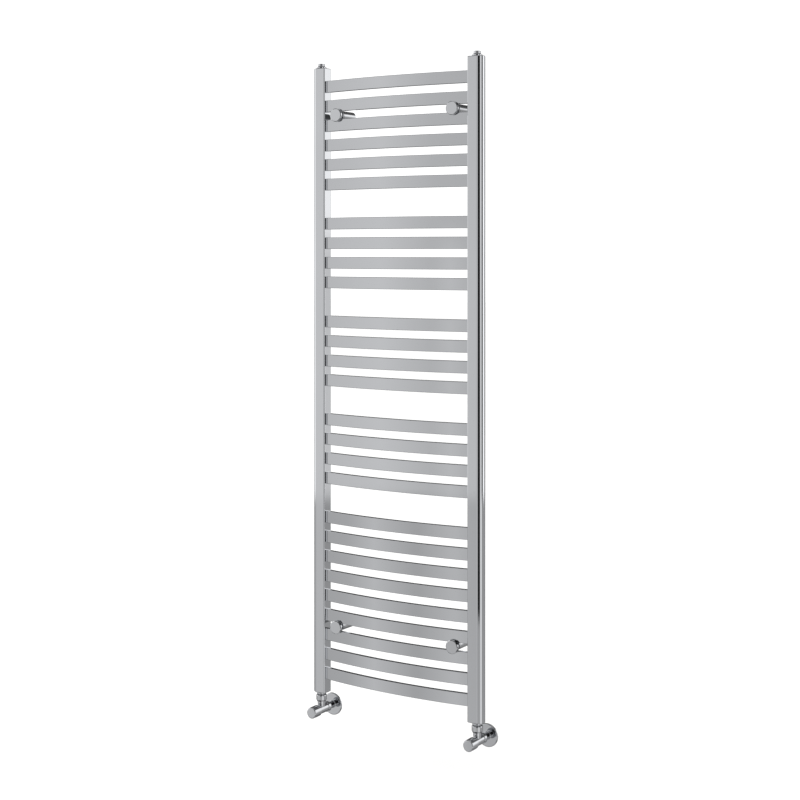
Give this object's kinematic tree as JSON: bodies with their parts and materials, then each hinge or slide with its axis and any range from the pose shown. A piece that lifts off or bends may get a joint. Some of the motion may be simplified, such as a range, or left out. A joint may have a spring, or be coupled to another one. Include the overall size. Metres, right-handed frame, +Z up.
{
  "type": "ladder towel radiator with valves",
  "caption": "Tall ladder towel radiator with bowed flat rungs in groups, D-section uprights, round clamp brackets and an angled valve under each upright.",
  "frame": {"origin": "on the wall plane, midway between the uprights, level with the axes of the two valves", "axes": "+Z up, +Y into the wall, +X to the right as seen from the room"},
  "size_m": [0.517, 0.097, 1.6855],
  "materials": {
    "chrome": "bright chrome plate",
    "plated_steel": "zinc plated",
    "brass": "machined"
  },
  "bodies": {
    "radiator": {"upright_left": "chrome", "upright_right": "chrome", "rung_01": "chrome", "rung_02": "chrome", "rung_03": "chrome", "rung_04": "chrome", "rung_05": "chrome", "rung_06": "chrome", "rung_07": "chrome", "rung_08": "chrome", "rung_09": "chrome", "rung_10": "chrome", "rung_11": "chrome", "rung_12": "chrome", "rung_13": "chrome", "rung_14": "chrome", "rung_15": "chrome", "rung_16": "chrome", "rung_17": "chrome", "rung_18": "chrome", "rung_19": "chrome", "rung_20": "chrome", "rung_21": "chrome", "rung_22": "chrome", "rung_23": "chrome", "rung_24": "chrome", "rung_25": "chrome", "rung_26": "chrome", "rung_27": "chrome", "blank_plug": "chrome", "air_vent_body": "chrome", "bracket_pillar_upper_left": "chrome", "bracket_bolt_upper_left": "plated_steel", "bracket_cap_upper_left": "chrome", "bracket_pillar_upper_right": "chrome", "bracket_bolt_upper_right": "plated_steel", "bracket_cap_upper_right": "chrome", "bracket_pillar_lower_left": "chrome", "bracket_bolt_lower_left": "plated_steel", "bracket_cap_lower_left": "chrome", "bracket_pillar_lower_right": "chrome", "bracket_bolt_lower_right": "plated_steel", "bracket_cap_lower_right": "chrome", "left_valve_body": "chrome", "left_tail": "chrome", "left_union_nut": "chrome", "left_compression_nut": "chrome", "left_wall_rose": "chrome", "right_valve_body": "chrome", "right_tail": "chrome", "right_union_nut": "chrome", "right_compression_nut": "chrome", "right_wall_rose": "chrome"},
    "left_handle": {"left_handle_cap": "chrome", "left_spindle": "brass"},
    "left_plug": {"left_valve_plug": "brass"},
    "right_handle": {"right_handle_cap": "chrome", "right_spindle": "brass"},
    "right_plug": {"right_valve_plug": "brass"},
    "vent_screw": {"air_vent_screw": "brass"}
  },
  "joints": [
    {"name": "left_handle_turn", "type": "hinge", "parent": "radiator", "child": "left_handle", "pos_m": [-0.23, -0.052, 0], "axis": [0, -1, 0], "range_deg": [0, 1080]},
    {"name": "left_plug_lift", "type": "slide", "parent": "radiator", "child": "left_plug", "axis": [0, -1, 0], "range_m": [0, 0.0046]},
    {"name": "right_handle_turn", "type": "hinge", "parent": "radiator", "child": "right_handle", "pos_m": [0.23, -0.052, 0], "axis": [0, -1, 0], "range_deg": [0, 1080]},
    {"name": "right_plug_lift", "type": "slide", "parent": "radiator", "child": "right_plug", "axis": [0, -1, 0], "range_m": [0, 0.0046]},
    {"name": "vent_screw_turn", "type": "hinge", "parent": "radiator", "child": "vent_screw", "pos_m": [0.23, -0.052, 1.657], "axis": [0, 0, 1], "range_deg": [0, 360]}
  ],
  "couplings": [
    {"joint": "left_plug_lift", "follows": "left_handle_turn", "m_per_rad": 0.00023873},
    {"joint": "right_plug_lift", "follows": "right_handle_turn", "m_per_rad": 0.00023873}
  ]
}
